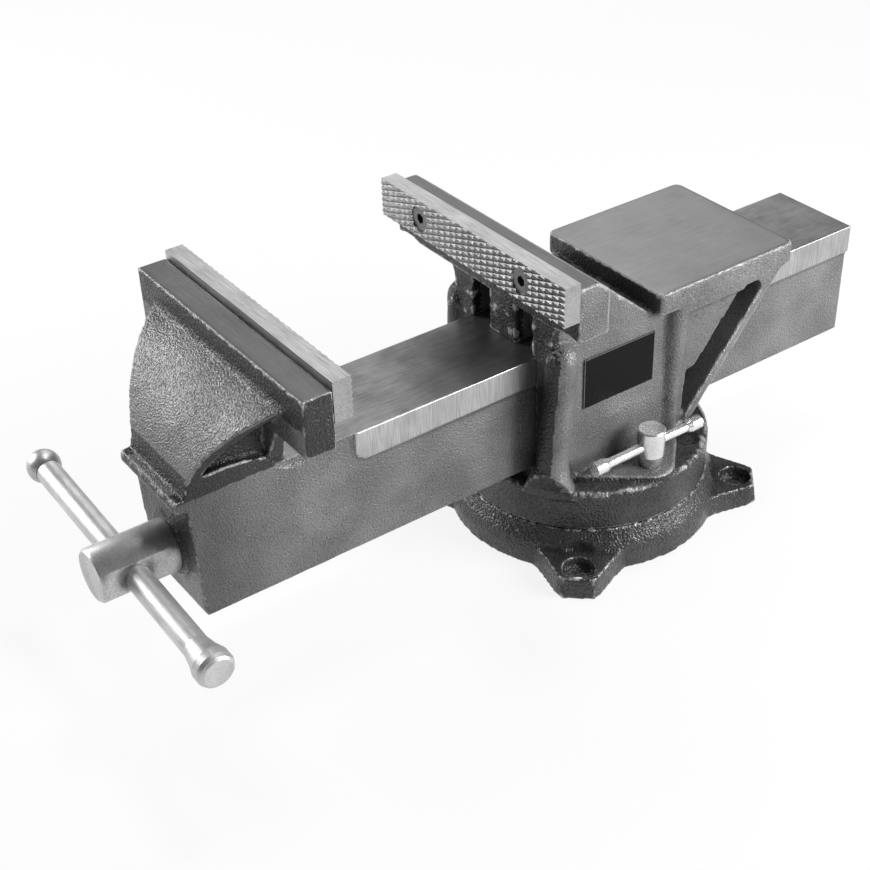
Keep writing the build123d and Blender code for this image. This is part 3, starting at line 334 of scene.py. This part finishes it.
def settled(piece):
    """The piece with its modifiers made into plain mesh."""
    graph = bpy.context.evaluated_depsgraph_get()
    mesh = bpy.data.meshes.new_from_object(piece.evaluated_get(graph))
    piece.modifiers.clear()
    piece.data = mesh
    return piece


def vertex_array(mesh, name):
    """A vector that each vertex of a mesh has, as rows of an array."""
    values = np.empty(len(mesh.vertices) * 3)
    mesh.vertices.foreach_get(name, values)
    return values.reshape(-1, 3)


def measure_edges(piece, reach):
    """Stores how far each vertex stands out of its neighbours, and how far it lies in."""
    mesh = piece.data
    points, normals = vertex_array(mesh, "co"), vertex_array(mesh, "normal")
    pairs = np.empty(len(mesh.edges) * 2, int)
    mesh.edges.foreach_get("vertices", pairs)
    pairs = pairs.reshape(-1, 2)
    count = np.bincount(pairs.ravel(), minlength=len(points))[:, None]

    def spread(values):
        total = np.zeros_like(values)
        np.add.at(total, pairs[:, 0], values[pairs[:, 1]])
        np.add.at(total, pairs[:, 1], values[pairs[:, 0]])
        return total / np.maximum(count, 1)

    out = ((points - spread(points)) * normals).sum(1, keepdims=True)
    for _ in range(2):
        out = (out + spread(out)) / 2
    for name, sign in (("edge", 1), ("hollow", -1)):
        layer = mesh.attributes.get(name) or mesh.attributes.new(name, "FLOAT", "POINT")
        layer.data.foreach_set("value", np.clip(sign * out[:, 0] / reach, 0, 1).astype(np.float32))


def melted(node, name, voxel, rounds, share):
    """A copy of a casting with the rounded edges and filled corners of a sand mould."""
    piece = copy_of(node, name)
    skin = piece.modifiers.new("skin", "REMESH")
    skin.mode, skin.voxel_size = "VOXEL", voxel
    soften = piece.modifiers.new("soften", "SMOOTH")
    soften.factor, soften.iterations = 0.5, rounds
    thin = piece.modifiers.new("thin", "DECIMATE")
    thin.ratio = share
    settled(piece)
    piece.data.shade_smooth()
    print(name, len(piece.data.polygons), "faces")
    return piece


def paint_faces(piece, materials, choose):
    """Gives each face the material that choose picks from the face's middle (mm) and normal."""
    mesh = piece.data
    mesh.materials.clear()
    for material in materials:
        mesh.materials.append(material)
    centres, normals = np.empty(len(mesh.polygons) * 3), np.empty(len(mesh.polygons) * 3)
    mesh.polygons.foreach_get("center", centres)
    mesh.polygons.foreach_get("normal", normals)
    centres, normals = centres.reshape(-1, 3) / MM, normals.reshape(-1, 3)
    mesh.polygons.foreach_set("material_index", choose(centres, normals).astype(np.int32))
    mesh.update()


# %% [markdown]
# ## Uneven mould
#
# Sand leaves the larger faces slightly uneven, which shows in how their highlights wander. That is a change
# of shape, so the vertices are moved along their normals by smooth noise. Machined faces are left out.

# %% Casting roughness
def roughen(piece, amount, size, where=None):
    """Moves vertices along their normals by smooth noise; amount and size in millimetres."""
    points, normals = vertex_array(piece.data, "co"), vertex_array(piece.data, "normal")
    for row, spot in enumerate(points / MM):
        share = 1.0 if where is None else where(spot)
        if share > 0:
            drift = normals[row] * noise.fractal(Vector(spot) / size, 1.0, 2.0, 3)
            points[row] += drift * amount * share * MM
    piece.data.vertices.foreach_set("co", points.ravel())
    piece.data.update()


# %% [markdown]
# ## Fixed jaw body
#
# The largest casting carries the turntable, the tunnel for the slide, the jaw head and the anvil. Its faces
# are sorted by where they lie and which way they point: the anvil and the top of the jaw are planed, the
# forward faces and the front pockets get a near-black paint as painted shade, the turntable has the paint of
# the base, and silver paint covers the rest.

# %% Fixed jaw body
COARSE = 1.0
EDGE_REACH = 0.00016 * COARSE
FLAT, FORWARD, SIDEWAYS, FACE_REACH_MM = 0.96, -0.7, 0.7, 0.6

body_top = box_mm("fixed_jaw_body")[1].z
ANVIL_TOP_MM, ANVIL_FRONT_MM, TURNTABLE_TOP_MM = 144.4, 10.2, 48.5
POCKET_FRONT_MM, POCKET_HALF_MM, POCKET_BOTTOM_MM, POCKET_TOP_MM = -52.0, 46.0, 125.0, 168.0
ROUGH_BOTTOM_MM, ROUGH_TOP_MM, POCKET_ROUGHER = 124.0, 156.0, 5.0
# Where forward faces, and those under the anvil, get painted shade.
SHADE_FRONT_MM, NECK_REACH_MM, NECK_BOTTOM_MM = -40.0, 4.0, 118.0
body = melted("fixed_jaw_body", "body_casting", 0.00105 * COARSE, 4, 0.5)


def body_skin(spot):
    """How rough the mould left the casting: most in the front pockets, not at all where it is machined."""
    if spot[2] > ANVIL_TOP_MM - 0.8:
        return 0.0
    in_pocket = spot[1] < POCKET_FRONT_MM and abs(spot[0]) < POCKET_HALF_MM
    return POCKET_ROUGHER if in_pocket and ROUGH_BOTTOM_MM < spot[2] < ROUGH_TOP_MM else 1.0


roughen(body, 0.16, 7.0, body_skin)


def body_finish(centres, normals):
    """Silver paint, planed jaw top, ground anvil, dark paint as painted shade, dark turntable: 0 to 4."""
    index = np.zeros(len(centres))
    out, along, height = abs(centres[:, 0]), centres[:, 1], centres[:, 2]
    flat = normals[:, 2] > FLAT
    index[flat & (height > body_top - FACE_REACH_MM)] = 1
    index[flat & (abs(height - ANVIL_TOP_MM) < FACE_REACH_MM) & (along > ANVIL_FRONT_MM)] = 2
    # Painted shade: near-black paint on forward faces in front and under the anvil, and on the walls of the
    # front pockets.
    neck = (along < ANVIL_FRONT_MM + NECK_REACH_MM) & (height > NECK_BOTTOM_MM)
    index[(normals[:, 1] < FORWARD) & ((along < SHADE_FRONT_MM) | neck)] = 3
    pocket = (along < POCKET_FRONT_MM) & (out < POCKET_HALF_MM)
    pocket &= (height > POCKET_BOTTOM_MM) & (height < POCKET_TOP_MM)
    index[pocket & (abs(normals[:, 2]) < 0.8)] = 3
    index[height < TURNTABLE_TOP_MM] = 4
    return index


paint_faces(body, (BODY_PAINT, HEAD_TOP, ANVIL_TOP, SHADE_PAINT, BASE_PAINT), body_finish)
measure_edges(body, EDGE_REACH)
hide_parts("fixed_jaw_body")
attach(body, "turret")

# %% [markdown]
# ## Moving jaw and slide
#
# The second casting is the channel-section slide with the front jaw on it. A cutter has passed over the
# slide's top, over a band along its sides where it runs in the tunnel, and over the top of the jaw. The sand
# shows only in front of the milled length.

# %% Moving jaw and slide
slide_low, slide_high = box_mm("moving_jaw_slide")
slide = melted("moving_jaw_slide", "slide_casting", 0.001 * COARSE, 3, 0.5)
BAND_MM, BAND_FRONT_MM, BEAM_TOP_MM, HEAD_STRIP_MM = 27.5, -166.6, 124.0, 172.0
CHEEK_INNER_MM, CHEEK_OUTER_MM, HEAD_END_MM, FRONT_REACH_MM = 20.0, 72.0, 70.0, 8.0


def slide_skin(spot):
    """Even mould roughness in front of the milled length."""
    return 1.0 if spot[1] < BAND_FRONT_MM and spot[2] < slide_high[2] - 1 else 0.0


roughen(slide, 0.16, 7.0, slide_skin)


def slide_finish(centres, normals):
    """Silver paint, planed jaw top, slide top, milled band and dark paint as painted shade: 0 to 4."""
    index = np.zeros(len(centres))
    out, along, height = abs(centres[:, 0]), centres[:, 1], centres[:, 2]
    forward, upward = normals[:, 1], normals[:, 2]
    index[(upward > FLAT) & (height > slide_high[2] - FACE_REACH_MM)] = 1
    index[(upward > 0.9) & (abs(height - BEAM_TOP_MM) < 0.7)] = 2
    index[(out > BAND_MM) & (height < BEAM_TOP_MM + 0.1) & (along > BAND_FRONT_MM)] = 3
    # Painted shade: near-black paint on the forward faces of the jaw's top strip and of the slide's front end,
    # on the faces under the cheeks and on the jaw's ends.
    index[(forward < FORWARD) & ((height > HEAD_STRIP_MM) | (along < slide_low[1] + FRONT_REACH_MM))] = 4
    under_cheek = (out > CHEEK_INNER_MM) & (out < CHEEK_OUTER_MM)
    under_cheek &= (height > BEAM_TOP_MM + 0.8) & (height < HEAD_STRIP_MM)
    index[under_cheek & (forward > -0.35)] = 4
    index[(abs(normals[:, 0]) > SIDEWAYS) & (out > HEAD_END_MM)] = 4
    return index


paint_faces(slide, (BODY_PAINT, HEAD_TOP, BEAM_TOP, BEAM_BAND, SHADE_PAINT), slide_finish)
measure_edges(slide, EDGE_REACH)

# %% [markdown]
# ## Painted shade on the slide's front end
#
# The right side of the slide is darkened towards its front end, as painted shade. The paint already reads an
# attribute for painted shade in hollows, so the same attribute is raised there, more and more towards the end.

# %% Painted shade on the slide's front end
FRONT_SHADE_END_MM, FRONT_SHADE_REACH_MM, FRONT_SHADE_SHARE = -185.0, 60.0, 0.5
# Painted shade: right-facing faces of the slide get darker towards its front end.
front_shade = np.clip((FRONT_SHADE_END_MM - vertex_array(slide.data, "co")[:, 1] / MM) / FRONT_SHADE_REACH_MM, 0, 1)
front_shade *= vertex_array(slide.data, "normal")[:, 0] > SIDEWAYS
hollows = np.empty(len(front_shade))
slide.data.attributes["hollow"].data.foreach_get("value", hollows)
slide.data.attributes["hollow"].data.foreach_set("value", np.maximum(hollows, FRONT_SHADE_SHARE * front_shade))
print("front_shaded vertices:", int((front_shade > 0).sum()))
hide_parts("moving_jaw_slide")
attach(slide, "slide")

# %% [markdown]
# ## Swivel base
#
# The base is one painted casting. Only its underside stays even, because it stands on the table.

# %% Swivel base
EVEN_FOOT_MM = 1.0
base = melted("swivel_base", "base_casting", 0.001 * COARSE, 5, 0.6)
roughen(base, 0.15, 6.0, lambda spot: 1.0 if spot[2] > EVEN_FOOT_MM else 0.0)
paint_faces(base, (BASE_PAINT,), lambda centres, normals: np.zeros(len(centres)))
measure_edges(base, EDGE_REACH)
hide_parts("swivel_base")
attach(base, "base")

# %% [markdown]
# ## Grip of the jaw plates
#
# The grip is cut the way it is milled: two families of V grooves cross at a small angle and leave flat
# diamonds between them. In Geometry Nodes one bar with a diamond section is repeated along the height of the
# plate, once for each lean. The bars of one lean are taken away from a copy of the plate first and those of
# the other after them, because bars that cross in a single cut leave torn triangles.

# %% Geometry Nodes helpers
GEOMETRY = "NodeSocketGeometry"


def geometry_tree(name, inputs):
    """An empty Geometry Nodes tree with one geometry in and out and named inputs."""
    tree = bpy.data.node_groups.new(name, "GeometryNodeTree")
    tree.interface.new_socket("Geometry", in_out="INPUT", socket_type=GEOMETRY)
    for socket, (kind, value) in inputs.items():
        made = tree.interface.new_socket(socket, in_out="INPUT", socket_type=kind)
        if value is not None:
            made.default_value = value
    tree.interface.new_socket("Geometry", in_out="OUTPUT", socket_type=GEOMETRY)
    return tree, tree.nodes.new("NodeGroupInput").outputs, tree.nodes.new("NodeGroupOutput").inputs


def grown(piece, tree, values):
    """Runs a Geometry Nodes tree on a piece with the given inputs and keeps the plain mesh."""
    modifier = piece.modifiers.new(tree.name, "NODES")
    modifier.node_group = tree
    for item in tree.interface.items_tree:
        if item.in_out == "INPUT" and item.name in values:
            modifier[item.identifier] = values[item.name]
    return settled(piece)


def ended(tree, result, geometry, material):
    """The end that every tree has: instances made real and a material set."""
    real = add(tree, "GeometryNodeRealizeInstances", {0: geometry}).outputs[0]
    dressed = add(tree, "GeometryNodeSetMaterial", {"Geometry": real, "Material": material}).outputs[0]
    tree.links.new(dressed, result["Geometry"])


# %% Diamond grip
GROOVE_PITCH, GROOVE_LEAN, GROOVE_DEPTH, GROOVE_WIDTH = 3.2 * MM, math.radians(17.6), 0.8 * MM, 2.85 * MM

grip, given, result = geometry_tree("diamond_grip", {
    "Middle": (VECTOR, (0, 0, 0)), "Pitch": (FLOAT, GROOVE_PITCH), "Lean": (FLOAT, GROOVE_LEAN),
    "Depth": (FLOAT, GROOVE_DEPTH), "Width": (FLOAT, GROOVE_WIDTH), "Length": (FLOAT, 0.2),
    "Count": ("NodeSocketInt", 24), "Material": ("NodeSocketMaterial", None)})
unit = math.sqrt(2)
length = add(grip, "ShaderNodeCombineXYZ", {0: given["Length"], 1: unit, 2: unit}).outputs[0]
bar = add(grip, "GeometryNodeMeshCube", {"Size": length}).outputs[0]
bar = add(grip, "GeometryNodeTransform", {"Geometry": bar, "Rotation": (math.pi / 4, 0, 0)}).outputs[0]
half_width = math_node(grip, "MULTIPLY", given["Width"], 0.5)
squeezed = add(grip, "ShaderNodeCombineXYZ", {0: 1.0, 1: given["Depth"], 2: half_width}).outputs[0]
bar = add(grip, "GeometryNodeTransform", {"Geometry": bar, "Scale": squeezed}).outputs[0]
steps = math_node(grip, "MULTIPLY", math_node(grip, "SUBTRACT", given["Count"], 1.0), -0.5)
climb = add(grip, "ShaderNodeCombineXYZ", {2: given["Pitch"]}).outputs[0]
first = add(grip, "ShaderNodeVectorMath", {0: climb, "Scale": steps}, operation="SCALE").outputs[0]
start = add(grip, "ShaderNodeVectorMath", {0: given["Middle"], 1: first}, operation="ADD").outputs[0]
rows = add(grip, "GeometryNodeMeshLine",
           {"Count": given["Count"], "Start Location": start, "Offset": climb}).outputs[0]
cut_plate = given["Geometry"]
for sign in (1.0, -1.0):
    lean = math_node(grip, "MULTIPLY", given["Lean"], sign)
    turn = add(grip, "ShaderNodeCombineXYZ", {1: lean}).outputs[0]
    family = add(grip, "GeometryNodeInstanceOnPoints",
                 {"Points": rows, "Instance": bar, "Rotation": turn}).outputs[0]
    bars = add(grip, "GeometryNodeRealizeInstances", {0: family}).outputs[0]
    cut_plate = add(grip, "GeometryNodeMeshBoolean", {"Mesh 1": cut_plate, "Mesh 2": bars},
                    operation="DIFFERENCE", solver="EXACT").outputs[0]
ended(grip, result, cut_plate, given["Material"])


# %% Jaw plates
def gripping_plate(node, name, body_name, face_y):
    """A copy of a jaw plate with the diamond grip cut into the face at face_y (mm)."""
    low, high = box_mm(node)
    middle = Vector((0, face_y, (low.z + high.z) / 2)) * MM
    piece = grown(copy_of(node, name), grip, {"Middle": middle, "Material": JAW_STEEL})

    def finish(centres, normals):
        cut = (abs(normals[:, 1]) > 0.3) & (abs(centres[:, 1] - face_y) < 1.0)
        return cut.astype(float)

    paint_faces(piece, (JAW_STEEL, GRIP_STEEL), finish)
    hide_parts(node)
    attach(piece, body_name)
    print(name, len(piece.data.polygons), "faces")


gripping_plate("fixed_jaw_plate", "fixed_grip_plate", "turret", box_mm("fixed_jaw_plate")[0].y)
gripping_plate("moving_jaw_plate", "moving_grip_plate", "slide", box_mm("moving_jaw_plate")[1].y)

# %% [markdown]
# ## Thread of the lead screw
#
# The real screw has a square thread that a lathe tool cut. A square section swept along a helix is the shape
# of the groove, so it is taken away from a copy of the screw.

# %% Thread
THREAD_PITCH, GROOVE_SIDE, SCREW_RADIUS, THREAD_SUNK = 5.0 * MM, 2.5 * MM, 11.0 * MM, 0.8 * MM

threading, given, result = geometry_tree("square_thread", {
    "Start": (VECTOR, (0, 0, 0)), "Length": (FLOAT, 0.2), "Pitch": (FLOAT, THREAD_PITCH),
    "Radius": (FLOAT, SCREW_RADIUS - THREAD_SUNK), "Side": (FLOAT, GROOVE_SIDE),
    "Material": ("NodeSocketMaterial", None)})
turns = math_node(threading, "DIVIDE", given["Length"], given["Pitch"])
helix = add(threading, "GeometryNodeCurveSpiral", {
    "Resolution": 32, "Rotations": turns, "Start Radius": given["Radius"], "End Radius": given["Radius"],
    "Height": given["Length"]}).outputs[0]
helix = add(threading, "GeometryNodeSetCurveNormal", {0: helix}, mode="Z_UP").outputs[0]
section = add(threading, "GeometryNodeCurvePrimitiveQuadrilateral",
              {0: given["Side"], 1: given["Side"]}).outputs[0]
groove = add(threading, "GeometryNodeCurveToMesh",
             {"Curve": helix, "Profile Curve": section, "Fill Caps": True}).outputs[0]
groove = add(threading, "GeometryNodeTransform", {"Geometry": groove, "Translation": given["Start"],
                                                  "Rotation": (-math.pi / 2, 0, 0)}).outputs[0]
cut_screw = add(threading, "GeometryNodeMeshBoolean", {"Mesh 1": given["Geometry"], "Mesh 2": groove},
                operation="DIFFERENCE", solver="EXACT").outputs[0]
ended(threading, result, cut_screw, given["Material"])

# %% Threaded screw
screw_end = box_mm("lead_screw")[1].y
THREAD_START_MM, THREAD_PAST_END_MM, SCREW_AXIS_MM = -188.0, 5.0, 84.2
thread_start = Vector((0, THREAD_START_MM, SCREW_AXIS_MM)) * MM
thread_length = (screw_end + THREAD_PAST_END_MM - THREAD_START_MM) * MM
screw = grown(copy_of("lead_screw", "threaded_screw"), threading,
              {"Start": thread_start, "Length": thread_length, "Material": BRIGHT})
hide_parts("lead_screw")
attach(screw, "screw")
print("threaded_screw", len(screw.data.polygons), "faces")

# %% [markdown]
# ## Label plate
#
# The plate on the right wall is black, with a thin grey border that an inset of its front face gives.

# %% Label plate
BORDER_MM = 0.6
label = copy_of("label_plate", "bordered_label")
work = bmesh.new()
work.from_mesh(label.data)
front = [face for face in work.faces if face.normal.x > 0.9]
bmesh.ops.inset_region(work, faces=front, thickness=BORDER_MM * MM)
for face in work.faces:
    face.material_index = 0 if face in front else 1
work.to_mesh(label.data)
work.free()
label.data.materials.append(LABEL_BLACK)
label.data.materials.append(SCREW_STEEL)
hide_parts("label_plate")
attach(label, "turret")

# %% [markdown]
# ## The other pieces
#
# Bolts, bars, washers and the spring are turned or drawn, and the nuts are plain blocks, so their CAD meshes
# are kept as they are. Each gets the finish that such a piece has: bright, plated, blackened or raw iron.

# %% Finishes of the other nodes
FINISHES = {
    "fixed_plate_screws": SCREW_STEEL, "moving_plate_screws": SCREW_STEEL,
    "handle_bar": BRIGHT_BAR, "handle_ball_end": BRIGHT, "spring_washers": BRIGHT, "thrust_spring": BRIGHT,
    "split_pin": BRIGHT, "screw_nut": NUT_IRON, "nut_bolt": BLACK_STEEL, "nut_bolt_washer": PLATED,
    "pivot_washer": PLATED, "pivot_bolt": BLACK_STEEL,
}
for side in ("right", "left"):
    FINISHES |= {f"lock_bolt_{side}": PLATED, f"lock_bar_{side}": PLATED, f"lock_bar_caps_{side}": PLATED,
                 f"clamp_nut_{side}": NUT_IRON}
for node, material in FINISHES.items():
    for material_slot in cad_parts[node].material_slots:
        material_slot.material = material
print(len(FINISHES), "nodes keep their CAD mesh")

# %% [markdown]
# ## Studio
#
# The vise stands on a white table. The table's own colour for the camera and for mirror rays is white with a
# faint shadow, so the metal shows the table too. Light that the table scatters onto the vise is kept lower,
# or the shaded sides of the castings would lose their depth.

# %% Floor
FLOOR_SIZE = 60.0
floor_mesh = bpy.data.meshes.new("floor")
half = FLOOR_SIZE / 2
corners = [(-half, -half, 0), (half, -half, 0), (half, half, 0), (-half, half, 0)]
floor_mesh.from_pydata(corners, [], [(0, 1, 2, 3)])
floor = bpy.data.objects.new("floor", floor_mesh)
scene.collection.objects.link(floor)

FLOOR_WHITE_SHARE, FLOOR_LIT_GREY, FLOOR_GREY = 0.85, 0.9, 0.25
paper, tree, shader, here = new_material("pale_floor")
out = tree.nodes["Material Output"]
tree.nodes.remove(shader)
path = add(tree, "ShaderNodeLightPath").outputs
lit = add(tree, "ShaderNodeBsdfDiffuse", {"Color": grey(FLOOR_LIT_GREY)}).outputs[0]
white = add(tree, "ShaderNodeEmission", {"Color": grey(1.0), "Strength": 1.0}).outputs[0]
seen = add(tree, "ShaderNodeMixShader", {0: FLOOR_WHITE_SHARE, 1: lit, 2: white}).outputs[0]
bounced = add(tree, "ShaderNodeBsdfDiffuse", {"Color": grey(FLOOR_GREY)}).outputs[0]
shiny = math_node(tree, "MAXIMUM", path["Is Glossy Ray"], path["Is Transmission Ray"])
looked_at = math_node(tree, "MAXIMUM", path["Is Camera Ray"], shiny)
final = add(tree, "ShaderNodeMixShader", {0: looked_at, 1: bounced, 2: seen}).outputs[0]
tree.links.new(final, out.inputs["Surface"])
floor_mesh.materials.append(paper)
print("floor", FLOOR_SIZE, "m wide")

# %% [markdown]
# ## Light
#
# A dim grey world fills the shadows a little. Four square soft lamps do the rest: a small bright one
# overhead, one behind at the right, and two at the left, one in front and one behind.

# %% World
WORLD_GREY = 0.12
world = bpy.data.worlds.new("studio")
world.use_nodes = True
scene.world = world
world.node_tree.nodes["Background"].inputs["Color"].default_value = grey(WORLD_GREY)
print("world grey:", WORLD_GREY)


# %% Lamps
AIM = Vector((0, -0.08, 0.12))


def softbox(name, way, distance, size, radiance):
    """A square soft light in a direction from the vise, with the brightness that its surface shows."""
    data = bpy.data.lights.new(name, "AREA")
    data.shape, data.size, data.energy = "SQUARE", size, radiance * math.pi * size * size
    item = bpy.data.objects.new(name, data)
    item.location = AIM + Vector(way).normalized() * distance
    item.rotation_euler = (AIM - item.location).to_track_quat("-Z", "Y").to_euler()
    scene.collection.objects.link(item)


softbox("left_front", (-0.77, -0.55, 0.32), distance=1.3, size=0.6, radiance=10.0)
softbox("left_back", (-0.68, 0.47, 0.57), distance=1.6, size=1.1, radiance=1.5)
softbox("overhead", (-0.15, 0.25, 0.95), distance=1.6, size=0.3, radiance=26.0)
softbox("right_back", (0.75, 0.62, 0.38), distance=1.0, size=0.5, radiance=15.0)
print(len(bpy.data.lights), "lamps")
scene.view_settings.view_transform = "Standard"
